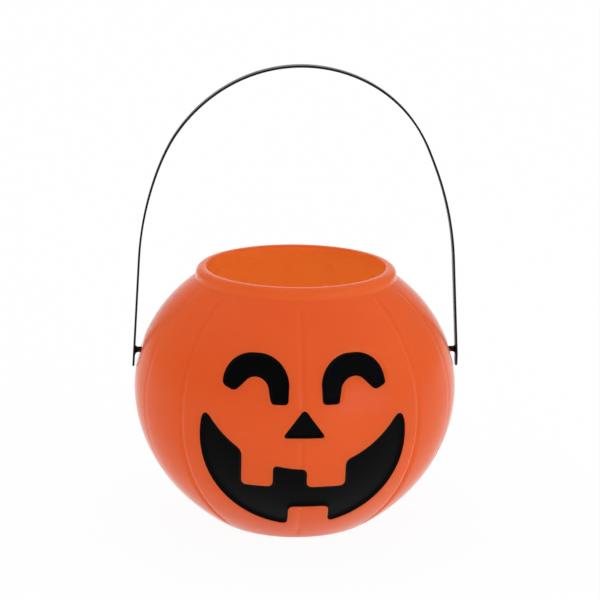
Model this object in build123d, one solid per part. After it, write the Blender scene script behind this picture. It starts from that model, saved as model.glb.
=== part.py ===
from build123d import *
from math import acos, atan2, cos, degrees, radians, sin, sqrt, tan
import os

# Pumpkin candy pail: a blow-moulded shell with a sunk, painted face and a strap that swings on snap pegs.
# The front faces -Y, the strap's pegs lie along X, and the origin is the centre of the foot on the table.

# Shell: two ellipse arcs meet at the widest ring, and a short collar stands on the shoulder.
belly_radius = 80.0
belly_height = 66.6
base_radius = 40.2
under_reach = 106.5
neck_height = 122.0
collar_radius = 49.5
rim_height = 127.6
rim_round = 3.4
lip_radius = 44.0
collar_root_flare = 1.0
wall = 1.2

# Foot: a flat ring to stand on, with the middle pushed up.
foot_ring_width = 7.0
foot_rise = 2.5
foot_rise_run = 4.0
foot_round = 5.0

# Grooves run from foot to collar. Two places beside the front one are left bare for the face.
groove_places = 16
bare_places = (1, 15)
groove_step_deg = 360 / groove_places
groove_width = 4.6
groove_depth = 0.7

# Face: sunk panels with flat-sided walls along Y, painted on their floors.
face_shift = 0.9
recess_depth = 1.5
paint_thickness = 0.3

eye_spacing = 23.3
eye_height = 86.8
eye_outer_radius = 15.0
eye_shoulder_radius = 13.5
eye_leg_reach = 15.9
eye_leg_lean = 0.5
eye_inner_radius = 6.0
eye_inner_shift = 0.4
eye_inner_drop = 1.1
eye_leg_drop = 7.1
eye_foot_width = 8.0
eye_tip_reach = 9.4
eye_tip_drop = 2.3
eye_corner_round = 1.5

nose_half_width = 10.4
nose_base_height = 64.0
nose_apex_height = 78.2
nose_corner_round = 1.0

mouth_radius = 48.6
mouth_height = 61.6
smile_radius = 53.2
smile_height = 101.3
left_tooth_start = -29.1
left_tooth_end = -14.4
right_tooth_start = 1.6
right_tooth_end = 19.8
upper_tooth_height = 38.0
lower_tooth_start = -6.6
lower_tooth_end = 12.6
lower_tooth_height = 25.8
mouth_corner_round = 1.1
mouth_tip_round = 1.8

# Peg seats: flat discs on the shell's sides, square to its slope, with a hole through each.
pivot_height = 84.7
seat_radius = 7.0
seat_depth = 0.8
peg_clearance = 0.08

# Strap: one thin band with its snap pegs.
strap_width = 6.0
strap_thickness = 1.0
strap_stand_off = 3.0
strap_top_height = 226.2
strap_tail = 8.6
crown_inset = 10.0
crown_turn_deg = 65.0
leg_lean_deg = 3.4
peg_radius = 1.4
peg_root_round = 0.8
peg_head_radius = 2.3
peg_head_length = 3.2
peg_tip_radius = 1.0
peg_head_gap = 0.4

# Reach of every cut past the face that it opens.
overrun = 6.0

under_centre = belly_radius - under_reach
under_turn = acos((base_radius - under_centre) / under_reach)
under_drop = belly_height / sin(under_turn)
shoulder_turn = acos(collar_radius / belly_radius)
shoulder_rise = (neck_height - belly_height) / sin(shoulder_turn)


def ellipse_arc(centre, reach, rise, turn):
    """An ellipse's arc from the widest ring, up through a turn or, below zero, down."""
    return Bezier(
        (centre + reach, belly_height),
        (centre + reach, belly_height + rise * tan(turn / 2)),
        (centre + reach * cos(turn), belly_height + rise * sin(turn)),
        weights=[1, cos(turn / 2), 1],
    )


def belly_arcs(inset, top_turn=shoulder_turn):
    """The meridian, moved in by inset: the arc under the belly and the arc of the shoulder."""
    under = ellipse_arc(under_centre, under_reach - inset, under_drop - inset, -under_turn)
    shoulder = ellipse_arc(0, belly_radius - inset, shoulder_rise - inset, top_turn)
    return under.reversed(), shoulder


def turned(edges):
    """A closed outline in radius and height, turned about the axis. Its seam lies between two grooves."""
    return Rot(0, 0, 90 + groove_step_deg / 2) * revolve(Plane.XZ * make_face(edges), Axis.Z)


def turned_polygon(*points):
    return turned(Polyline(*points, close=True).edges())


def belly(inset):
    """The closed belly, moved in by inset, from its foot to the collar's root."""
    under, shoulder = belly_arcs(inset)
    foot = under @ 0
    neck = shoulder @ 1
    outline = [
        under,
        shoulder,
        Line(neck, (0, neck.Y)),
        Line((0, neck.Y), (0, foot.Y)),
        Line((0, foot.Y), foot),
    ]
    return turned(outline)


def shell_radius(height):
    """The outside radius of the belly at a height."""
    if height < belly_height:
        return under_centre + under_reach * sqrt(1 - ((belly_height - height) / under_drop) ** 2)
    return belly_radius * sqrt(1 - ((height - belly_height) / shoulder_rise) ** 2)


def shell_slope(height):
    """How far the belly's outward normal points up at a height, in radians."""
    if height < belly_height:
        reach, rise, centre = under_reach, under_drop, under_centre
    else:
        reach, rise, centre = belly_radius, shoulder_rise, 0
    return atan2((height - belly_height) / rise**2, (shell_radius(height) - centre) / reach**2)


def collar_block():
    """The collar's outside as a plug: a round top edge, and a flare where it stands on the shoulder."""
    flare_radius = collar_radius + collar_root_flare
    flare_height = belly_height + shoulder_rise * sqrt(1 - (flare_radius / belly_radius) ** 2)
    corner_height = rim_height - rim_round
    edge = CenterArc((collar_radius - rim_round, corner_height), rim_round, 0, 90)
    sides = Polyline(
        edge @ 1,
        (0, rim_height),
        (0, belly_height),
        (flare_radius, belly_height),
        (flare_radius, flare_height),
        (collar_radius, neck_height + collar_root_flare),
        edge @ 0,
    )
    return turned([edge] + sides.edges())


def mouth_plug():
    """The way in: the space inside the collar, with a sloped corner under the lip, and the lip's hole."""
    inner_radius = collar_radius - wall
    inner_corner = rim_round - wall
    return turned_polygon(
        (0, belly_height),
        (inner_radius, belly_height),
        (inner_radius, rim_height - wall - inner_corner),
        (inner_radius - inner_corner, rim_height - wall),
        (lip_radius, rim_height - wall),
        (lip_radius, rim_height + overrun),
        (0, rim_height + overrun),
    )


def foot_push_up(grow):
    """The block pushed up into the foot, grown by a wall on the inside of the shell."""
    ring_inner = base_radius - foot_ring_width
    return turned_polygon(
        (0, -overrun),
        (ring_inner + grow, -overrun),
        (ring_inner + grow, 0),
        (ring_inner + grow - foot_rise_run, foot_rise + grow),
        (0, foot_rise + grow),
    )


def groove_wedges(inset):
    """Wedges along the meridians: they press the grooves in and, moved in by a wall, raise ribs inside."""
    top_turn = acos((collar_radius + collar_root_flare) / belly_radius)
    path = Plane.XZ * Wire(belly_arcs(inset, top_turn))
    along = path % 0
    away = Vector(along.Z, 0, -along.X)
    section = Polyline(
        (-groove_depth, 0),
        (groove_depth, groove_width),
        (groove_depth, -groove_width),
        close=True,
    )
    wedge = sweep(Plane(origin=path @ 0, x_dir=away, z_dir=along) * make_face(section.edges()), path)
    places = [place for place in range(groove_places) if place not in bare_places]
    return [Rot(0, 0, place * groove_step_deg - 90) * wedge for place in places]


def eye_outline():
    """The right eye: an arch, rounder on its leg's side, with a slanted tip at its outer end."""
    foot_height = eye_height - eye_leg_drop
    inner_centre = Vector(-eye_inner_shift, eye_height - eye_inner_drop)
    tip = Vector(eye_tip_reach, eye_height - eye_tip_drop)
    to_tip = tip - inner_centre
    touch = degrees(atan2(to_tip.Y, to_tip.X) + acos(eye_inner_radius / to_tip.length))
    shoulder_centre = (eye_shoulder_radius - eye_leg_reach, eye_height + eye_outer_radius - eye_shoulder_radius)
    outer = CenterArc((0, eye_height), eye_outer_radius, 0, 90)
    shoulder = CenterArc(shoulder_centre, eye_shoulder_radius, 90, 90)
    inner = CenterArc(inner_centre, eye_inner_radius, touch, 180 - touch)
    foot = (eye_leg_lean - eye_leg_reach, foot_height)
    heel = (eye_leg_lean - eye_leg_reach + eye_foot_width, foot_height)
    outline = [
        outer,
        Line(outer @ 1, shoulder @ 0),
        shoulder,
        Line(shoulder @ 1, foot),
        Line(foot, heel),
        Line(heel, inner @ 1),
        inner,
        Line(inner @ 0, tip),
        Line(tip, outer @ 0),
    ]
    eye = make_face(outline)
    sharp = [eye.vertices().sort_by_distance(corner)[0] for corner in (foot, heel, tip, outer @ 0)]
    return Pos(eye_spacing, 0) * fillet(sharp, eye_corner_round)


def nose_outline():
    corners = Polyline(
        (-nose_half_width, nose_base_height),
        (nose_half_width, nose_base_height),
        (0, nose_apex_height),
        close=True,
    )
    nose = make_face(corners.edges())
    return fillet(nose.vertices(), nose_corner_round)


def tooth_block(start, end, low, high):
    return make_face(Polyline((start, low), (end, low), (end, high), (start, high), close=True).edges())


def mouth_outline(grow):
    """A crescent between two circles, with two square teeth above and one below, grown all round."""
    tooth_low = upper_tooth_height + grow
    smile = Pos(0, mouth_height) * Circle(mouth_radius + grow)
    smile -= Pos(0, smile_height) * Circle(smile_radius - grow)
    smile -= tooth_block(left_tooth_start + grow, left_tooth_end - grow, tooth_low, smile_height)
    smile -= tooth_block(right_tooth_start + grow, right_tooth_end - grow, tooth_low, smile_height)
    smile -= tooth_block(lower_tooth_start + grow, lower_tooth_end - grow, 0, lower_tooth_height - grow)
    corners = smile.vertices().sort_by(Axis.X)
    smile = fillet([corners[0], corners[-1]], mouth_tip_round)
    sharp = [smile.vertices().sort_by_distance(corner)[0] for corner in corners[1:-1]]
    return fillet(sharp, mouth_corner_round)


def front_prism(outline):
    """The outline carried through the front of the pail, along Y."""
    return extrude(Plane.XZ * Pos(face_shift, 0) * outline, belly_radius + overrun)


def seat_plug(side, radius, depth):
    """A plug square to the shell at a peg, with its flat end at a depth under the surface."""
    slope = shell_slope(pivot_height)
    outward = Vector(side * cos(slope), 0, sin(slope))
    floor = Vector(side * shell_radius(pivot_height), 0, pivot_height) - outward * depth
    return extrude(Plane(origin=floor, z_dir=outward) * Circle(radius), depth + overrun)


def build_pail(panels):
    """The outer skin with its grooves, sunk face and seats, less a cavity that follows it a wall behind."""
    skin = belly(0) + collar_block()
    foot = skin.edges().filter_by(GeomType.CIRCLE).sort_by(Axis.Z)[0]
    skin = fillet(foot, foot_round)
    skin -= foot_push_up(0)

    cavity = belly(wall) + mouth_plug()
    cavity -= Cylinder(base_radius, wall, align=(Align.CENTER, Align.CENTER, Align.MIN))
    cavity -= foot_push_up(wall)

    skin -= groove_wedges(0)
    cavity -= groove_wedges(wall)

    panel_floor = belly(recess_depth)
    panel_back = belly(recess_depth + wall)
    for outline, back_outline in panels:
        skin -= front_prism(outline) - panel_floor
        cavity -= front_prism(back_outline) - panel_back
    for side in (-1, 1):
        skin -= seat_plug(side, seat_radius, seat_depth)
        cavity -= seat_plug(side, seat_radius + wall, seat_depth + wall)

    pail = skin - cavity
    hole = Cylinder(peg_radius + peg_clearance, 2 * belly_radius, rotation=(0, 90, 0))
    return pail - Pos(0, 0, pivot_height) * hole


def build_paint(outline):
    """A coat of paint on the floor of one sunk panel."""
    coat = belly(recess_depth - paint_thickness) - belly(recess_depth)
    return front_prism(outline) & coat


def build_strap():
    """The band as a flat outline in XZ, given its width along Y, with a peg and snap head at each leg."""
    half_span = shell_radius(pivot_height) + strap_stand_off
    crown_radius = half_span - crown_inset
    crown_turn = radians(crown_turn_deg)
    leg_turn = radians(90 - leg_lean_deg)

    # The haunch radius and the straight leg close the way from the crown's end to the peg.
    across = half_span - crown_radius * sin(crown_turn)
    down = strap_top_height - crown_radius * (1 - cos(crown_turn)) - pivot_height
    haunch_across = sin(leg_turn) - sin(crown_turn)
    haunch_down = cos(crown_turn) - cos(leg_turn)
    scale = haunch_across * sin(leg_turn) - haunch_down * cos(leg_turn)
    haunch_radius = (across * sin(leg_turn) - down * cos(leg_turn)) / scale
    leg_length = (down * haunch_across - across * haunch_down) / scale

    crown_centre = Vector(0, strap_top_height - crown_radius)
    to_joint = Vector(sin(crown_turn), cos(crown_turn))
    haunch_centre = crown_centre - to_joint * (haunch_radius - crown_radius)
    haunch_turn_deg = 90 - leg_lean_deg - crown_turn_deg
    leg_down = Vector(cos(leg_turn), -sin(leg_turn))
    right_haunch = CenterArc(haunch_centre, haunch_radius, leg_lean_deg, haunch_turn_deg)
    right_leg = Line(right_haunch @ 0 + leg_down * (leg_length + strap_tail), right_haunch @ 0)
    crown = CenterArc(crown_centre, crown_radius, 90 - crown_turn_deg, 2 * crown_turn_deg)
    half = Curve([right_leg, right_haunch])
    centre_line = Wire(half.edges() + [crown] + mirror(half, Plane.YZ).edges())
    outline = offset(centre_line, strap_thickness / 2, side=Side.BOTH)
    band = extrude(Plane.XZ * make_face(outline.edges()), strap_width / 2, both=True)

    # Both tails are rounded across the width.
    tail_height = (right_leg @ 0).Y
    slot_length = strap_top_height + overrun - tail_height
    slot = Pos(0, tail_height + slot_length / 2) * SlotOverall(slot_length, strap_width, rotation=90)
    band &= extrude(Plane.YZ * slot, half_span + overrun, both=True)
    peg = snap_peg(half_span)
    return band + peg + mirror(peg, Plane.YZ)


def snap_peg(strap_place):
    """The right peg: a stem that flares into the band, and a cone inside the shell that can't pull out."""
    slope = shell_slope(pivot_height)
    back_of_seat = shell_radius(pivot_height) - (seat_depth + wall) / cos(slope)
    head_start = back_of_seat - peg_head_radius * tan(slope) - peg_head_gap
    head_end = head_start - peg_head_length
    root_start = strap_place - strap_thickness / 2
    root = CenterArc((root_start - peg_root_round, peg_radius + peg_root_round), peg_root_round, 270, 90)
    profile = Polyline(
        root @ 1,
        (strap_place, peg_radius + peg_root_round),
        (strap_place, 0),
        (head_end, 0),
        (head_end, peg_tip_radius),
        (head_start, peg_head_radius),
        (head_start, peg_radius),
        root @ 0,
    )
    face = Plane.XZ * make_face([root] + profile.edges())
    return Pos(0, 0, pivot_height) * revolve(face, Axis.X)


eye = eye_outline()
eye_back = offset(eye, wall)
nose = nose_outline()
panels = {
    "left_eye_paint": (mirror(eye, Plane.YZ), mirror(eye_back, Plane.YZ)),
    "right_eye_paint": (eye, eye_back),
    "nose_paint": (nose, offset(nose, wall)),
    "mouth_paint": (mouth_outline(0), mouth_outline(wall)),
}
pieces = {name: build_paint(outline) for name, (outline, back_outline) in panels.items()}
pieces["pail_shell"] = build_pail(panels.values())
pieces["strap_handle"] = build_strap()

os.makedirs("parts", exist_ok=True)
for name, piece in pieces.items():
    piece.label = name
    export_step(piece, f"parts/{name}.step")
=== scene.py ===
import math

import bpy
import numpy as np
from mathutils import Matrix, Vector


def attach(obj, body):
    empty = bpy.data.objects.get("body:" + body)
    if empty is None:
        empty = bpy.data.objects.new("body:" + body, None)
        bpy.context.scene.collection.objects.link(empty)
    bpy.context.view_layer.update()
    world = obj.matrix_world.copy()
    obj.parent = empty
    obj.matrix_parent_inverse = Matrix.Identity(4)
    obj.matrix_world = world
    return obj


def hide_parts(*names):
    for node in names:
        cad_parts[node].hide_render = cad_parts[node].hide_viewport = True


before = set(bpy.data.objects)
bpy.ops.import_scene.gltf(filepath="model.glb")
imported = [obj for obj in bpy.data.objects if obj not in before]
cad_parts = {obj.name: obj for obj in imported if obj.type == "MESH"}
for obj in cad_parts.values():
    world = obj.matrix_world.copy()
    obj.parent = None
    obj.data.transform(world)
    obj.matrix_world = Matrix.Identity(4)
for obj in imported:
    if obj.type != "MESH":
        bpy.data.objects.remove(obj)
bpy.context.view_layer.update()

# Pail shell
# One blow-moulded polyethylene shell. The mould's ribs press the grooves in and its raised panels sink the
# face. The top of the blown bottle is trimmed off, which leaves a short collar with its lip turned in.
# All sizes in this file are in mm.
mm = 0.001
belly_radius = 80.0
belly_height = 66.6
base_radius = 40.2
under_reach = 106.5
neck_height = 122.0
collar_radius = 49.5
rim_height = 127.6
rim_round = 3.4
lip_radius = 44.3
wall = 1.2
foot_ring_width = 7.0
foot_rise = 2.5
foot_rise_run = 4.0
foot_bend = 1.6
collar_bend = 0.6
small_bend = 1.0

# Grooves: sixteen places round the belly, of which the two beside the front one are bare for the face.
groove_places = 16
bare_places = (1, 15)
groove_half_width = 2.7
rib_half_width = 5.5
rib_share = 0.55
groove_depth = 0.95
groove_sharpness = 1.9
groove_foot_fade = (2.0, 9.0)
groove_top_fade = (119.6, 121.2)
groove_side_fade = (0.27, 0.7)
groove_panel_fade = (-2.2, -0.4)

# Sunk face: how far it lies to the right, its depth, its sloped walls and one panel's shift off its paint.
face_shift = 0.9
front_turn_deg = 60.0
recess_depth = 1.5
recess_lead = 0.5
recess_slope_width = 2.0
panel_reach = 5.0
panel_shift = {"right_eye": (1.0, 0.8)}

# Eyes: both have the right one's outline, and the left one is its mirror image.
left_eye_aside = 22.95
right_eye_aside = 23.9
eye_height = 86.8
eye_outer_radius = 15.0
eye_shoulder_radius = 13.5
eye_leg_reach = 15.9
eye_leg_lean = 0.5
eye_inner_radius = 6.0
eye_inner_shift = 0.4
eye_inner_drop = 1.1
eye_leg_drop = 7.1
eye_foot_width = 8.0
eye_tip_reach = 9.4
eye_tip_drop = 2.3
eye_bend = 2.0

# Nose
nose_half_width = 10.4
nose_base_height = 64.0
nose_apex_height = 78.2
nose_bend = 2.8

# Mouth: its lower and upper circles, and the two sides of each tooth.
mouth_radius = 48.6
mouth_height = 61.6
smile_radius = 53.2
smile_height = 101.3
left_tooth = (-29.1, -14.4)
right_tooth = (1.6, 19.8)
upper_tooth_height = 38.0
lower_tooth = (-6.6, 12.6)
lower_tooth_height = 25.8
tooth_bend = 3.0
left_tip_bend = 6.5
right_tip_bend = 8.5

# Peg seats: a shallow flat at each side with a hole through it.
pivot_height = 84.7
seat_radius = 8.8
seat_depth = 0.6
seat_edge = 0.7
seat_tilt_deg = 1.0
hole_radius = 1.48
round_sides = 32
sharp_deg = 40.0

# Mesh steps, fine over the face and the lip and coarse where the shell is plain.
face_step = 0.55
edge_step = 0.8
coarse_step = 2.4
shoulder_step = 1.0
collar_step = 0.5
rim_step = 0.4
lip_step = 0.2
inside_thinning = 4
bend_steps = 6
face_turn_deg = 42.0
face_low = 12.0
face_high = 104.0

under_centre = belly_radius - under_reach
under_drop = belly_height / math.sin(math.acos((base_radius - under_centre) / under_reach))
shoulder_rise = (neck_height - belly_height) / math.sin(math.acos(collar_radius / belly_radius))
groove_step = 2 * math.pi / groove_places


def belly_reach(height):
    """The outside radius of the belly at a height: one ellipse arc under the widest ring and one above it."""
    under = under_centre + under_reach * np.sqrt(1 - ((belly_height - height) / under_drop) ** 2)
    shoulder = belly_radius * np.sqrt(1 - ((height - belly_height) / shoulder_rise) ** 2)
    return np.where(height < belly_height, under, shoulder)


def smooth_rise(start, end, value):
    """0 before start, 1 after end, and an even S between them."""
    share = np.clip((value - start) / (end - start), 0, 1)
    return share * share * (3 - 2 * share)


def line_run(start, end, step=1.0):
    """Evenly spaced points from one place to another."""
    count = max(2, int(math.dist(start, end) / step) + 1)
    return np.linspace(start, end, count)


def arc_run(centre, radius, start_deg, end_deg, step=1.0, fewest=5):
    """Evenly spaced points along an arc."""
    count = max(fewest, int(radius * math.radians(abs(end_deg - start_deg)) / step) + 1)
    turns = np.radians(np.linspace(start_deg, end_deg, count))
    return np.stack([centre[0] + radius * np.cos(turns), centre[1] + radius * np.sin(turns)], axis=1)


def trimmed(run, at_start, at_end):
    """A run of points with a length cut off each end."""
    along = np.concatenate([[0], np.cumsum(np.linalg.norm(np.diff(run, axis=0), axis=1))])
    kept = along[(along > at_start) & (along < along[-1] - at_end)]
    places = np.concatenate([[at_start], kept, [along[-1] - at_end]])
    return np.stack([np.interp(places, along, values) for values in run.T], axis=1)


def joined(runs, bends, closed):
    """Runs laid end to end with rounded corners, and for each point its run's number, or -1 in a corner."""
    steps = np.linspace(0, 1, bend_steps + 1)[1:-1, None]
    points = []
    numbers = []
    for i, run in enumerate(runs):
        first = not closed and i == 0
        last = not closed and i == len(runs) - 1
        part = trimmed(run, 0 if first else bends[i - 1], 0 if last else bends[i])
        points.append(part)
        numbers.append(np.full(len(part), i))
        if not last:
            onward = trimmed(runs[(i + 1) % len(runs)], bends[i], 0)[0]
            bend = (1 - steps) ** 2 * part[-1] + 2 * steps * (1 - steps) * run[-1] + steps**2 * onward
            points.append(bend)
            numbers.append(np.full(len(bend), -1))
    return np.concatenate(points), np.concatenate(numbers)


def eye_outline():
    """The right eye about its own middle: an arch, rounder on its leg's side, with a slanted outer tip."""
    foot_height = eye_height - eye_leg_drop
    inner_centre = (-eye_inner_shift, eye_height - eye_inner_drop)
    tip = (eye_tip_reach, eye_height - eye_tip_drop)
    to_tip = Vector((tip[0] - inner_centre[0], tip[1] - inner_centre[1]))
    touch_deg = math.degrees(math.atan2(to_tip.y, to_tip.x) + math.acos(eye_inner_radius / to_tip.length))
    shoulder_height = eye_height + eye_outer_radius - eye_shoulder_radius
    shoulder_centre = (eye_shoulder_radius - eye_leg_reach, shoulder_height)
    foot = (eye_leg_lean - eye_leg_reach, foot_height)
    heel = (foot[0] + eye_foot_width, foot_height)
    outer = arc_run((0, eye_height), eye_outer_radius, 0, 90)
    shoulder = arc_run(shoulder_centre, eye_shoulder_radius, 90, 180)
    inner = arc_run(inner_centre, eye_inner_radius, 180, touch_deg)
    runs = [
        np.concatenate([outer, shoulder, line_run(shoulder[-1], foot)[1:]]),
        line_run(foot, heel),
        np.concatenate([line_run(heel, inner[0]), inner[1:], line_run(inner[-1], tip)[1:]]),
        line_run(tip, outer[0]),
    ]
    return joined(runs, [eye_bend] * 4, True)[0]


def nose_outline():
    """A triangle with rounded corners."""
    base = [(side * nose_half_width, nose_base_height) for side in (-1, 1)]
    corners = [*base, (0, nose_apex_height)]
    runs = [line_run(corners[i - 1], corners[i]) for i in range(3)]
    return joined(runs, [nose_bend] * 3, True)[0]


def mouth_outline():
    """A crescent between two circles, with two square teeth hung from its top and one set on its bottom."""
    apart = smile_height - mouth_height
    tip_rise = (mouth_radius**2 - smile_radius**2 + apart**2) / (2 * apart)
    tip_deg = math.degrees(math.asin(tip_rise / mouth_radius))
    smile_tip_deg = math.degrees(math.asin((tip_rise - apart) / smile_radius))

    def bottom(x, radius):
        """The turn in degrees at which the lower half of a circle passes x."""
        return -math.degrees(math.acos(x / radius))

    def lower_arc(start_deg, end_deg):
        """A stretch of the mouth's lower edge."""
        return arc_run((0, mouth_height), mouth_radius, start_deg, end_deg)

    def upper_arc(start_deg, end_deg):
        """A stretch of the mouth's upper edge."""
        return arc_run((0, smile_height), smile_radius, start_deg, end_deg)

    def tooth(before, after, x_start, x_end, edge_height):
        """The three sides of a tooth between the ends of two arcs."""
        return [
            line_run(before[-1], (x_start, edge_height)),
            line_run((x_start, edge_height), (x_end, edge_height)),
            line_run((x_end, edge_height), after[0]),
        ]

    right_low = lower_arc(tip_deg, bottom(lower_tooth[1], mouth_radius))
    left_low = lower_arc(bottom(lower_tooth[0], mouth_radius), -180 - tip_deg)
    left_top = upper_arc(-180 - smile_tip_deg, bottom(left_tooth[0], smile_radius))
    middle_top = upper_arc(bottom(left_tooth[1], smile_radius), bottom(right_tooth[0], smile_radius))
    right_top = upper_arc(bottom(right_tooth[1], smile_radius), smile_tip_deg)
    lower = [right_low, *tooth(right_low, left_low, *lower_tooth[::-1], lower_tooth_height), left_low]
    upper = [
        left_top,
        *tooth(left_top, middle_top, *left_tooth, upper_tooth_height),
        middle_top,
        *tooth(middle_top, right_top, *right_tooth, upper_tooth_height),
        right_top,
    ]
    bends = [tooth_bend] * (len(lower) - 1) + [left_tip_bend]
    bends += [tooth_bend] * (len(upper) - 1) + [right_tip_bend]
    return joined(lower + upper, bends, True)[0]


def inside_distance(points, outline):
    """How far each point lies inside a closed outline, negative outside it, up to the panels' reach."""
    distance = np.full(len(points), -panel_reach)
    near = np.all((points > outline.min(0) - panel_reach) & (points < outline.max(0) + panel_reach), axis=1)
    place = points[near]
    gap = np.full(len(place), panel_reach)
    inside = np.zeros(len(place), bool)
    for start, end in zip(outline, np.roll(outline, -1, axis=0)):
        edge = end - start
        if not edge.any():
            continue
        offset = place - start
        share = np.clip(offset @ edge / (edge @ edge), 0, 1)
        gap = np.minimum(gap, np.linalg.norm(offset - share[:, None] * edge, axis=1))
        if edge[1]:
            level = (start[1] > place[:, 1]) != (end[1] > place[:, 1])
            inside ^= level & (offset[:, 0] < offset[:, 1] * edge[0] / edge[1])
    distance[near] = np.where(inside, gap, -gap)
    return distance


eye = eye_outline()
face_outlines = {
    "left_eye": eye * (-1, 1) - (left_eye_aside, 0),
    "right_eye": eye + (right_eye_aside, 0),
    "nose": nose_outline(),
    "mouth": mouth_outline(),
}

# The places of the belly's outside and inside among the runs of the profile.
outside_run = 3
inside_run = 5


def profile_rows():
    """The wall's outline in radius and height, from under the foot round the lip to the foot's inside."""
    ring_inner = base_radius - foot_ring_width
    rise_edge = ring_inner - foot_rise_run
    heights = np.concatenate([
        np.arange(0, face_low, coarse_step),
        np.arange(face_low, face_high, face_step),
        np.arange(face_high, neck_height, shoulder_step),
        [neck_height],
    ])
    outside = np.stack([belly_reach(heights), heights], axis=1)
    slope = np.gradient(outside, axis=0)
    slope /= np.linalg.norm(slope, axis=1)[:, None]
    behind = outside - wall * np.stack([slope[:, 1], -slope[:, 0]], axis=1)
    behind = behind[(behind[:, 0] < belly_radius) & (behind[:, 1] > wall)][::-inside_thinning]

    corner_reach = collar_radius - rim_round
    corner_height = rim_height - rim_round
    lip_edge = wall / 2
    collar = np.concatenate([
        line_run((collar_radius, neck_height), (collar_radius, corner_height), collar_step),
        arc_run((corner_reach, corner_height), rim_round, 0, 90, rim_step)[1:],
        arc_run((lip_radius + lip_edge, rim_height - lip_edge), lip_edge, 90, 270, lip_step),
        arc_run((corner_reach, corner_height), rim_round - wall, 90, 0, collar_step),
        line_run((collar_radius - wall, corner_height), (collar_radius - wall, neck_height), collar_step)[1:],
    ])
    inner_foot = behind[-1]
    runs = [
        line_run((coarse_step, foot_rise), (rise_edge, foot_rise), coarse_step),
        line_run((rise_edge, foot_rise), (ring_inner, 0)),
        line_run((ring_inner, 0), (base_radius, 0)),
        outside,
        collar,
        np.concatenate([[(collar_radius - wall, neck_height)], behind]),
        line_run(inner_foot, (ring_inner + wall, wall)),
        line_run((ring_inner + wall, wall), (rise_edge + wall, foot_rise + wall)),
        line_run((rise_edge + wall, foot_rise + wall), (coarse_step, foot_rise + wall), coarse_step),
    ]
    bends = [small_bend, small_bend, foot_bend, collar_bend] + [small_bend] * 4
    return joined(runs, bends, False)


def turn_columns():
    """Turns about the axis from the front: fine at the face, the grooves and the seats, coarse elsewhere."""
    face_turn = math.radians(face_turn_deg)
    columns = list(np.arange(-face_turn, face_turn, face_step / belly_radius))
    turn = face_turn
    while turn < 2 * math.pi - face_turn - face_step / 2 / belly_radius:
        columns.append(turn)
        to_groove = abs((turn + groove_step / 2) % groove_step - groove_step / 2) * belly_radius
        to_seat = abs(turn % math.pi - math.pi / 2) * belly_radius
        fine = to_groove < groove_half_width + coarse_step or to_seat < seat_radius + coarse_step
        turn += (edge_step if fine else coarse_step) / belly_radius
    return np.array(columns)


def groove_press(turn, height, half_width):
    """How deep the grooves lie: soft-shouldered creases, shallower at the sides, where the mould parts."""
    place = np.round(turn / groove_step)
    aside = np.abs(turn - place * groove_step) * belly_reach(height)
    crease = np.clip(1 - aside / half_width, 0, 1) ** groove_sharpness
    crease[np.isin(place % groove_places, bare_places)] = 0
    ends = smooth_rise(*groove_foot_fade, height) * (1 - smooth_rise(*groove_top_fade, height))
    return groove_depth * crease * ends * smooth_rise(*groove_side_fade, np.abs(np.cos(turn)))


def face_press(distance, lead):
    """How deep the face is sunk at a distance inside an outline: a sloped wall and a level floor."""
    return recess_depth * smooth_rise(-lead, recess_slope_width - lead, distance)


profile, run_number = profile_rows()
turns = turn_columns()
slopes = np.gradient(profile, axis=0)
slopes /= np.linalg.norm(slopes, axis=1)[:, None]
facing = np.stack([slopes[:, 1], -slopes[:, 0]], axis=1)
is_outside = run_number == outside_run
is_inside = run_number == inside_run

turn_grid, height_grid = np.meshgrid(turns, profile[:, 1])
reach_grid = belly_reach(np.clip(height_grid, 0, neck_height))
face_place = np.stack([reach_grid * np.sin(turn_grid) - face_shift, height_grid], axis=-1)
from_front = np.abs((turn_grid + math.pi) % (2 * math.pi) - math.pi)
at_front = (from_front < math.radians(front_turn_deg)) & (is_outside | is_inside)[:, None]
face_distance = {}
panel_distance = np.full(turn_grid.shape, -panel_reach)
for part, outline in face_outlines.items():
    distance = np.full(turn_grid.shape, -panel_reach)
    distance[at_front] = inside_distance(face_place[at_front], outline)
    face_distance[part] = distance
    panel = distance.copy()
    panel[at_front] = inside_distance(face_place[at_front] - panel_shift.get(part, (0, 0)), outline)
    panel_distance = np.maximum(panel_distance, panel)
lead_grid = np.where(is_inside[:, None], recess_lead + wall, recess_lead)
sunk = face_press(panel_distance, lead_grid)
width_grid = np.where(is_inside[:, None], rib_half_width, groove_half_width)
creased = groove_press(turn_grid, np.clip(height_grid, 0, neck_height), width_grid)
creased *= np.where(is_inside[:, None], rib_share, 1)
pressed = np.maximum(sunk, creased * (1 - smooth_rise(*groove_panel_fade, panel_distance)))
pressed *= np.where(is_outside, -1, np.where(is_inside, 1, 0))[:, None]
reach = profile[:, :1] + pressed * facing[:, :1]
height = profile[:, 1:] + pressed * facing[:, 1:]
shell_grid = np.stack([reach * np.sin(turn_grid), -reach * np.cos(turn_grid), height], axis=-1)

pivot_reach = float(belly_reach(pivot_height))
seat_slope = math.atan2((pivot_height - belly_height) / shoulder_rise**2, pivot_reach / belly_radius**2)


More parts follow.
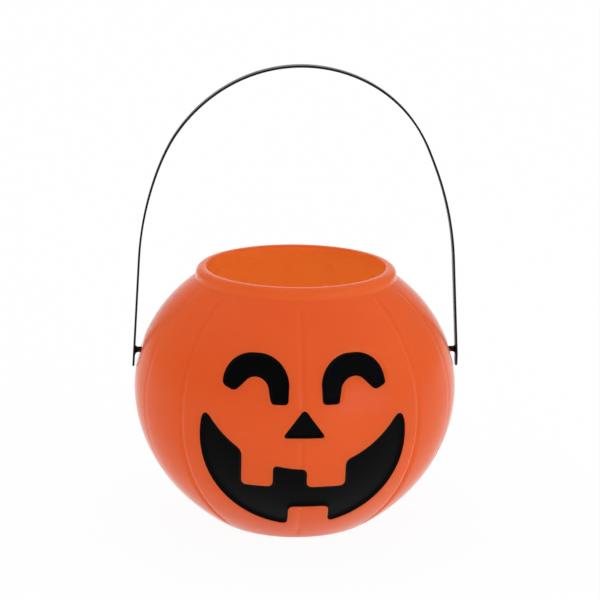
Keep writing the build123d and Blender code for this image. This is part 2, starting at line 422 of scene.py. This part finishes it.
def press_seats(grid):
    """Presses a flat into each side, a little steeper than the slope, with the inside a wall behind it."""
    rise = seat_slope - math.radians(seat_tilt_deg)
    for side in (-1, 1):
        outward = np.array([side * math.cos(rise), 0, math.sin(rise)])
        floor = np.array([side * pivot_reach, 0, pivot_height]) - outward * seat_depth
        for rows, grow in ((is_outside, 0), (is_inside, wall)):
            offset = grid[rows] - floor
            above = offset @ outward
            aside = np.linalg.norm(offset - above[..., None] * outward, axis=-1)
            share = 1 - smooth_rise(seat_radius + grow, seat_radius + grow + seat_edge, aside)
            grid[rows] -= (np.maximum(above + grow, 0) * share)[..., None] * outward


press_seats(shell_grid)


def piece(name, points, faces, material):
    """A smooth mesh object from points in millimetres."""
    mesh = bpy.data.meshes.new(name)
    mesh.from_pydata((np.asarray(points) * mm).tolist(), [], faces)
    mesh.shade_smooth()
    mesh.materials.append(material)
    made = bpy.data.objects.new(name, mesh)
    bpy.context.scene.collection.objects.link(made)
    return made


def linear(hex_colour):
    """An sRGB hex colour as linear red, green, blue and alpha."""
    shares = [int(hex_colour[i : i + 2], 16) / 255 for i in (1, 3, 5)]
    levels = [share / 12.92 if share <= 0.04045 else ((share + 0.055) / 1.055) ** 2.4 for share in shares]
    return [*levels, 1.0]


def add_node(tree, kind, values=None, links=None, **settings):
    """Adds a node with its settings, its sockets' values and its links from other sockets."""
    made = tree.nodes.new(kind)
    for key, value in settings.items():
        setattr(made, key, value)
    for socket, value in (values or {}).items():
        made.inputs[socket].default_value = value
    for socket, source in (links or {}).items():
        tree.links.new(source, made.inputs[socket])
    return made


def new_material(name):
    """A material with no nodes yet."""
    material = bpy.data.materials.new(name)
    material.use_nodes = True
    material.node_tree.nodes.clear()
    return material


def blow_moulded_polyethylene():
    """Orange polyethylene from a blasted mould: a satin, slightly waxy wall that lets some light through."""
    # Pigment streaks are about this wide. The blasted grain is nearer 0.1 mm, too fine to show, and is drawn
    # coarser.
    streak_width = 45.0
    grain_width = 1.4
    let_through_share = 0.54
    material = new_material("blow_moulded_polyethylene")
    tree = material.node_tree
    place = add_node(tree, "ShaderNodeTexCoord")
    streaks = add_node(
        tree, "ShaderNodeTexNoise", {"Scale": 1 / (streak_width * mm), "Detail": 3.0, "Roughness": 0.5},
        {"Vector": place.outputs["Object"]},
    )
    pigment = add_node(tree, "ShaderNodeValToRGB", links={"Fac": streaks.outputs["Fac"]})
    pigment.color_ramp.elements[0].position = 0.3
    pigment.color_ramp.elements[0].color = linear("#EE6D38")
    pigment.color_ramp.elements[1].position = 0.7
    pigment.color_ramp.elements[1].color = linear("#F3753E")
    blasting = add_node(
        tree, "ShaderNodeTexNoise", {"Scale": 1 / (grain_width * mm), "Detail": 2.0},
        {"Vector": place.outputs["Object"]},
    )
    waxy = add_node(
        tree, "ShaderNodeMapRange", {"To Min": 0.22, "To Max": 0.27}, {"Value": streaks.outputs["Fac"]}
    )
    bump = add_node(
        tree, "ShaderNodeBump", {"Strength": 0.12, "Distance": 0.05 * mm}, {"Height": blasting.outputs["Fac"]}
    )
    scattered = add_node(
        tree, "ShaderNodeBsdfPrincipled",
        {
            "Specular IOR Level": 0.0,
            "Subsurface Weight": 0.5,
            "Subsurface Radius": (1.0, 0.4, 0.2),
            "Subsurface Scale": 2 * mm,
        },
        {"Base Color": pigment.outputs["Color"], "Normal": bump.outputs["Normal"]},
    )
    let_through = add_node(tree, "ShaderNodeBsdfTranslucent", {"Color": linear("#FFC982")})
    body = add_node(
        tree, "ShaderNodeMixShader", {0: let_through_share},
        {1: scattered.outputs["BSDF"], 2: let_through.outputs["BSDF"]},
    )
    gloss = add_node(
        tree, "ShaderNodeBsdfGlossy", {"Color": linear("#FFFFFF")},
        {"Roughness": waxy.outputs["Result"], "Normal": bump.outputs["Normal"]},
    )
    # Polyethylene's own IOR is about 1.5. The blasting scatters most of the gloss, and this matches the rest.
    edge_on = add_node(tree, "ShaderNodeFresnel", {"IOR": 1.18}, {"Normal": bump.outputs["Normal"]})
    # Light that meets the skin from within the wall finds no gloss.
    side = add_node(tree, "ShaderNodeNewGeometry")
    skin = add_node(
        tree, "ShaderNodeMath", links={0: edge_on.outputs["Fac"], 1: side.outputs["Backfacing"]},
        operation="SUBTRACT", use_clamp=True,
    )
    surface = add_node(
        tree, "ShaderNodeMixShader", links={0: skin.outputs[0], 1: body.outputs[0], 2: gloss.outputs["BSDF"]}
    )
    add_node(tree, "ShaderNodeOutputMaterial", links={"Surface": surface.outputs[0]})
    return material


def quads_round(index):
    """Quads between the rows of a grid of point numbers, each row of which closes on itself."""
    onward = np.roll(index, -1, axis=1)
    return np.stack([index[:-1], onward[:-1], onward[1:], index[1:]], axis=-1).reshape(-1, 4).tolist()


def shell_faces(rows, columns):
    """Quads round the grid, and a fan of triangles to a middle point at each end."""
    index = np.arange(rows * columns).reshape(rows, columns)
    under, over = rows * columns, rows * columns + 1
    first, last = index[0].tolist(), index[-1].tolist()
    fan = [(under, there, here) for here, there in zip(first, first[1:] + first[:1])]
    fan += [(over, here, there) for here, there in zip(last, last[1:] + last[:1])]
    return quads_round(index) + fan


middles = [(0, 0, profile[0, 1]), (0, 0, profile[-1, 1])]
shell_points = np.concatenate([shell_grid.reshape(-1, 3), middles])
shell = piece("moulded_shell", shell_points, shell_faces(*turn_grid.shape), blow_moulded_polyethylene())


def ring_faces(rings, around, first):
    """Quads between rings of points, with each end closed by one face."""
    index = first + np.arange(rings * around).reshape(rings, around)
    return quads_round(index) + [index[0][::-1].tolist(), index[-1].tolist()]


def pivot_ring(x, radius, side=1):
    """A ring of points about the line through both pegs, which runs the other way round for side -1."""
    turns = np.linspace(0, 2 * math.pi, round_sides + 1)[:-1]
    across = side * radius * np.cos(turns)
    return np.stack([np.full(round_sides, x), across, pivot_height + radius * np.sin(turns)], axis=1)


def bore_peg_holes(target):
    """Bores one hole along X through both seats."""
    rings = np.array([pivot_ring(x, hole_radius) for x in (-belly_radius, belly_radius)])
    cutter = piece("hole_cutter", rings.reshape(-1, 3), ring_faces(2, round_sides, 0), target.active_material)
    bore = target.modifiers.new("bore", "BOOLEAN")
    bore.object = cutter
    bore.solver = "MANIFOLD"
    bored = bpy.data.meshes.new_from_object(target.evaluated_get(bpy.context.evaluated_depsgraph_get()))
    target.modifiers.remove(bore)
    bpy.data.objects.remove(cutter)
    target.data = bored
    bored.set_sharp_from_angle(angle=math.radians(sharp_deg))


bore_peg_holes(shell)
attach(shell, "pail")
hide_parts("pail_shell")

# Painted face
# Black solvent paint, sprayed through a mask into the four sunk panels. It covers their floors and most of
# their sloped walls, and each coat is a thin skin that follows the shell.
paint_gap = 0.02
paint_thickness = 0.1
search_margin = 4 * face_step

outward = np.cross(np.gradient(shell_grid, axis=1), np.gradient(shell_grid, axis=0))
outward /= np.linalg.norm(outward, axis=-1)[..., None]
skin = shell_grid + outward * paint_gap


def coat_of_paint(distance):
    """The part of the skin that lies inside an outline, with its edge cut along the outline."""
    numbers = {}
    points = []
    faces = []

    def number(key, point):
        """The number of a point, which is added the first time that it is met."""
        if key not in numbers:
            numbers[key] = len(points)
            points.append(point)
        return numbers[key]

    rows, columns = np.nonzero((distance > -search_margin) & is_outside[:, None])
    for row, column in zip(rows.tolist(), columns.tolist()):
        onward = (column + 1) % len(turns)
        corners = [(row, column), (row, onward), (row + 1, onward), (row + 1, column)]
        depths = [distance[corner] for corner in corners]
        if max(depths) <= 0:
            continue
        face = []
        for i in range(4):
            here, there = corners[i], corners[(i + 1) % 4]
            at_here, at_there = depths[i], depths[(i + 1) % 4]
            if at_here > 0:
                face.append(number(here, skin[here]))
            if (at_here > 0) != (at_there > 0):
                share = at_here / (at_here - at_there)
                key = (min(here, there), max(here, there))
                face.append(number(key, skin[here] * (1 - share) + skin[there] * share))
        faces.append(face)
    return points, faces


def satin_black_paint():
    """Solvent paint on moulded plastic: near black, with a soft sheen and a faint mottle from the spray."""
    # The spray's droplets are nearer 0.2 mm and are drawn coarser, so that the mottle shows.
    mottle_width = 2.5
    material = new_material("satin_black_paint")
    tree = material.node_tree
    place = add_node(tree, "ShaderNodeTexCoord")
    mottle = add_node(
        tree, "ShaderNodeTexNoise", {"Scale": 1 / (mottle_width * mm), "Detail": 3.0},
        {"Vector": place.outputs["Object"]},
    )
    black = add_node(tree, "ShaderNodeValToRGB", links={"Fac": mottle.outputs["Fac"]})
    black.color_ramp.elements[0].color = linear("#020202")
    black.color_ramp.elements[1].color = linear("#040506")
    sheen = add_node(
        tree, "ShaderNodeMapRange", {"To Min": 0.45, "To Max": 0.55}, {"Value": mottle.outputs["Fac"]}
    )
    bump = add_node(
        tree, "ShaderNodeBump", {"Strength": 0.2, "Distance": 0.05 * mm}, {"Height": mottle.outputs["Fac"]}
    )
    # A specular level far under the usual 0.5 matches the coat's faint gloss.
    shader = add_node(
        tree, "ShaderNodeBsdfPrincipled", {"IOR": 1.45, "Specular IOR Level": 0.05},
        {
            "Base Color": black.outputs["Color"],
            "Roughness": sheen.outputs["Result"],
            "Normal": bump.outputs["Normal"],
        },
    )
    add_node(tree, "ShaderNodeOutputMaterial", links={"Surface": shader.outputs["BSDF"]})
    return material


paint = satin_black_paint()
for part, distance in face_distance.items():
    coat = piece(f"{part}_coat", *coat_of_paint(distance), paint)
    film = coat.modifiers.new("film", "SOLIDIFY")
    film.thickness = paint_thickness * mm
    film.offset = 1
    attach(coat, "pail")
    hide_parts(f"{part}_paint")

# Strap handle
# One thin black band of injection-moulded polypropylene. A stem grows out of each leg, passes a hole in the
# shell's side and ends in a cone, which was snapped through and now keeps the strap on.
strap_width = 6.0
strap_thickness = 1.0
strap_edge = 0.22
strap_stand_off = 3.0
strap_top_height = 226.2
strap_tail = 8.6
crown_inset = 10.0
crown_turn_deg = 65.0
leg_lean_deg = 3.4
peg_radius = 1.4
peg_root_round = 1.5
peg_head_radius = 2.3
peg_head_length = 3.2
peg_tip_radius = 1.0
peg_head_gap = 0.4
crown_shift = 1.5
crown_shift_heights = (176.0, 220.0)
leg_shift = 0.3
right_tail_heights = (77.0, 84.0)
tail_round_share = 0.995
tail_step = 0.2
root_step = 0.2
strap_edge_step = 0.12


def strap_line():
    """The band's middle line in X and height, from the left tail over the crown to the right tail."""
    half_span = pivot_reach + strap_stand_off
    crown_radius = half_span - crown_inset
    crown_turn = math.radians(crown_turn_deg)
    leg_turn = math.radians(90 - leg_lean_deg)
    across = half_span - crown_radius * math.sin(crown_turn)
    down = strap_top_height - crown_radius * (1 - math.cos(crown_turn)) - pivot_height
    haunch_across = math.sin(leg_turn) - math.sin(crown_turn)
    haunch_down = math.cos(crown_turn) - math.cos(leg_turn)
    scale = haunch_across * math.sin(leg_turn) - haunch_down * math.cos(leg_turn)
    haunch_radius = (across * math.sin(leg_turn) - down * math.cos(leg_turn)) / scale
    leg_length = (down * haunch_across - across * haunch_down) / scale
    crown_height = strap_top_height - crown_radius
    apart = haunch_radius - crown_radius
    haunch_centre = (-apart * math.sin(crown_turn), crown_height - apart * math.cos(crown_turn))
    crown = arc_run((0, crown_height), crown_radius, 90, 90 - crown_turn_deg, coarse_step)
    haunch = arc_run(haunch_centre, haunch_radius, 90 - crown_turn_deg, leg_lean_deg, coarse_step)
    leg_start = haunch[-1]
    reach = leg_length + strap_tail
    end = leg_start + reach * np.array([math.cos(leg_turn), -math.sin(leg_turn)])
    tail_start = leg_start + (end - leg_start) * (1 - strap_width / reach)
    leg = line_run(leg_start, tail_start, coarse_step)
    tail = line_run(tail_start, end, tail_step)
    right = np.concatenate([crown, haunch[1:], leg[1:], tail[1:]])
    line = np.concatenate([right[:0:-1] * (-1, 1), right])
    line[:, 0] += crown_shift * smooth_rise(*crown_shift_heights, line[:, 1])
    line[:, 0] += leg_shift * np.where(line[:, 0] < 0, 1, smooth_rise(*right_tail_heights, line[:, 1]))
    return line


def band_section():
    """The band's cross-section, out from its inner face and across its width, with rounded edges."""
    half_thick = strap_thickness / 2 - strap_edge
    half_wide = strap_width / 2 - strap_edge
    corners = [(half_thick * x, half_wide * y) for x, y in ((1, 1), (-1, 1), (-1, -1), (1, -1))]
    return np.concatenate([
        arc_run(corner, strap_edge, start_deg, start_deg + 90, strap_edge_step)
        for corner, start_deg in zip(corners, (0, 90, 180, 270))
    ])


def band_rings():
    """The band as rings of points along its middle line, with both tails rounded off."""
    line = strap_line()
    along = np.gradient(line, axis=0)
    along /= np.linalg.norm(along, axis=1)[:, None]
    section = band_section()
    length = np.concatenate([[0], np.cumsum(np.linalg.norm(np.diff(line, axis=0), axis=1))])
    from_end = np.minimum(length, length[-1] - length)
    inset = np.clip(1 - from_end / (strap_width / 2), 0, tail_round_share)
    narrow = np.sqrt(1 - inset**2)
    rings = []
    for point, (run, rise), share in zip(line, along, narrow):
        out = np.array([-rise, run])
        flat = point + section[:, :1] * out
        rings.append(np.stack([flat[:, 0], section[:, 1] * share, flat[:, 1]], axis=1))
    return np.array(rings)


def peg_rings(side):
    """A snap peg as rings about the line through both pegs."""
    strap_place = pivot_reach + strap_stand_off + side * leg_shift
    root_start = strap_place - strap_thickness / 2
    root_radius = peg_radius + peg_root_round
    root = arc_run((root_start - peg_root_round, root_radius), peg_root_round, 0, -90, root_step)
    behind_wall = pivot_reach - (seat_depth + wall) / math.cos(seat_slope)
    head_start = behind_wall - peg_head_radius * math.tan(seat_slope) - peg_head_gap
    head_end = head_start - peg_head_length
    outline = np.concatenate([
        [(strap_place, root_radius)],
        root,
        [(head_start, peg_radius), (head_start, peg_head_radius), (head_end, peg_tip_radius)],
    ])
    return np.array([pivot_ring(side * x, radius, side) for x, radius in outline])


def black_polypropylene():
    """Black polypropylene from a polished tool: smooth and a little greasy, with a grey sheen at an angle."""
    flow_mark_width = 6.0
    material = new_material("black_polypropylene")
    tree = material.node_tree
    place = add_node(tree, "ShaderNodeTexCoord")
    flow = add_node(
        tree, "ShaderNodeTexNoise", {"Scale": 1 / (flow_mark_width * mm), "Detail": 2.0},
        {"Vector": place.outputs["Object"]},
    )
    tone = add_node(tree, "ShaderNodeValToRGB", links={"Fac": flow.outputs["Fac"]})
    tone.color_ramp.elements[0].color = linear("#030304")
    tone.color_ramp.elements[1].color = linear("#060608")
    gloss = add_node(
        tree, "ShaderNodeMapRange", {"To Min": 0.28, "To Max": 0.36}, {"Value": flow.outputs["Fac"]}
    )
    bump = add_node(
        tree, "ShaderNodeBump", {"Strength": 0.1, "Distance": 0.05 * mm}, {"Height": flow.outputs["Fac"]}
    )
    # A specular level under the usual 0.5 keeps the legs black and leaves the crown its grey sheen.
    shader = add_node(
        tree, "ShaderNodeBsdfPrincipled", {"IOR": 1.49, "Specular IOR Level": 0.2},
        {
            "Base Color": tone.outputs["Color"],
            "Roughness": gloss.outputs["Result"],
            "Normal": bump.outputs["Normal"],
        },
    )
    add_node(tree, "ShaderNodeOutputMaterial", links={"Surface": shader.outputs["BSDF"]})
    return material


strap_points = []
strap_faces = []
for rings in (band_rings(), peg_rings(1), peg_rings(-1)):
    strap_faces += ring_faces(len(rings), rings.shape[1], len(strap_points))
    strap_points += rings.reshape(-1, 3).tolist()
strap = piece("moulded_strap", strap_points, strap_faces, black_polypropylene())
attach(strap, "handle")
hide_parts("strap_handle")

# Studio
# A white floor and a surround that the camera sees as white and that gloss mirrors brightest behind the pail
# and overhead. Two soft boxes give a cool light, a strong one at the right and a larger, weaker one in front.
floor_reach = 20000.0


def studio_floor_white():
    """Matt white sheet. To the camera it is mostly plain white, and it keeps a light shadow."""
    material = new_material("studio_floor_white")
    tree = material.node_tree
    path = add_node(tree, "ShaderNodeLightPath")
    seen = path.outputs["Is Camera Ray"]
    for ray_kind in ("Is Glossy Ray", "Is Transmission Ray"):
        sources = {0: seen, 1: path.outputs[ray_kind]}
        either = add_node(tree, "ShaderNodeMath", links=sources, operation="MAXIMUM")
        seen = either.outputs[0]
    share = add_node(tree, "ShaderNodeMapRange", {"To Min": 0.4, "To Max": 0.95}, {"Value": seen})
    sheet = add_node(tree, "ShaderNodeBsdfDiffuse", {"Color": linear("#F4F4F4")})
    white = add_node(tree, "ShaderNodeEmission", {"Color": linear("#FFFFFF"), "Strength": 1.0})
    mixed = add_node(
        tree, "ShaderNodeMixShader",
        links={0: share.outputs["Result"], 1: sheet.outputs[0], 2: white.outputs[0]},
    )
    add_node(tree, "ShaderNodeOutputMaterial", links={"Surface": mixed.outputs[0]})
    return material


floor_corners = [(x * floor_reach, y * floor_reach, 0) for x, y in ((-1, -1), (1, -1), (1, 1), (-1, 1))]
floor = piece("floor", floor_corners, [(0, 1, 2, 3)], studio_floor_white())

world = bpy.data.worlds.new("studio_surround")
bpy.context.scene.world = world
world.use_nodes = True
surround = world.node_tree
surround.nodes.clear()
way = add_node(surround, "ShaderNodeTexCoord")
axes = add_node(surround, "ShaderNodeSeparateXYZ", links={0: way.outputs["Generated"]})
# What gloss mirrors: white behind the pail, a little less overhead, and dim in front.
behind = add_node(
    surround, "ShaderNodeMapRange", {"From Min": 0.72, "From Max": 0.97, "To Min": 0.15, "To Max": 1.0},
    {"Value": axes.outputs["Y"]},
)
overhead = add_node(
    surround, "ShaderNodeMapRange", {"From Min": 0.3, "From Max": 0.9, "To Min": 0.15, "To Max": 0.7},
    {"Value": axes.outputs["Z"]},
)
mirrored = add_node(
    surround, "ShaderNodeMath", links={0: behind.outputs["Result"], 1: overhead.outputs["Result"]},
    operation="MAXIMUM",
)
# What lights the pail: more from above and behind than from below and in front.
up_and_back = add_node(
    surround, "ShaderNodeMath", links={0: axes.outputs["Y"], 1: axes.outputs["Z"]}, operation="ADD"
)
lit = add_node(
    surround, "ShaderNodeMapRange", {"From Min": -1.0, "From Max": 1.4, "To Min": 0.4, "To Max": 1.25},
    {"Value": up_and_back.outputs[0]},
)
ray = add_node(surround, "ShaderNodeLightPath")
light = add_node(
    surround, "ShaderNodeMix",
    links={"Factor": ray.outputs["Is Glossy Ray"], "A": lit.outputs["Result"], "B": mirrored.outputs[0]},
)
level = add_node(
    surround, "ShaderNodeMath", links={0: light.outputs["Result"], 1: ray.outputs["Is Camera Ray"]},
    operation="MAXIMUM",
)
sky = add_node(surround, "ShaderNodeBackground", {"Color": linear("#FFFFFF")}, {"Strength": level.outputs[0]})
add_node(surround, "ShaderNodeOutputWorld", links={"Surface": sky.outputs[0]})


def soft_box(name, turn_deg, rise_deg, distance, wide, tall, watts):
    """A flat lamp of cool white that faces the pail's middle."""
    lamp = bpy.data.lights.new(name, "AREA")
    lamp.color = linear("#DCEEFF")[:3]
    lamp.shape = "RECTANGLE"
    lamp.size = wide * mm
    lamp.size_y = tall * mm
    lamp.energy = watts
    made = bpy.data.objects.new(name, lamp)
    turn, rise = math.radians(turn_deg), math.radians(rise_deg)
    away = Vector((math.sin(turn) * math.cos(rise), -math.cos(turn) * math.cos(rise), math.sin(rise)))
    made.location = Vector((0, 0, belly_height * mm)) + away * (distance * mm)
    made.rotation_euler = away.to_track_quat("Z", "Y").to_euler()
    bpy.context.scene.collection.objects.link(made)


soft_box("right_soft_box", turn_deg=42, rise_deg=7, distance=1200, wide=800, tall=400, watts=3.3)
soft_box("front_soft_box", turn_deg=16, rise_deg=22, distance=1500, wide=1200, tall=1200, watts=0.9)

# Camera
# A long lens one metre away, from a little above and a little to the left of straight ahead. It is rolled by
# under a degree and aimed a little to the right of the pail's axis.
lens_mm = 121.07
sensor_mm = 36.0
camera_distance = 1000.0
camera_turn_deg = -2.9
camera_rise_deg = 14.395
camera_roll_deg = 0.661
aim_right = 2.13
aim_height = 109.9

turn, rise = math.radians(camera_turn_deg), math.radians(camera_rise_deg)
rightward = Vector((math.cos(turn), math.sin(turn), 0))
backward = Vector((math.sin(turn) * math.cos(rise), -math.cos(turn) * math.cos(rise), math.sin(rise)))
upward = backward.cross(rightward)
aim = (rightward * aim_right + Vector((0, 0, aim_height))) * mm
camera = bpy.data.objects.new("camera", bpy.data.cameras.new("camera"))
camera.data.lens = lens_mm
camera.data.sensor_width = sensor_mm
roll = Matrix.Rotation(math.radians(camera_roll_deg), 3, "Z")
pointing = Matrix((rightward, upward, backward)).transposed() @ roll
camera.matrix_world = Matrix.Translation(aim + backward * (camera_distance * mm)) @ pointing.to_4x4()
bpy.context.scene.collection.objects.link(camera)
bpy.context.scene.camera = camera
bpy.context.scene.view_settings.view_transform = "Standard"
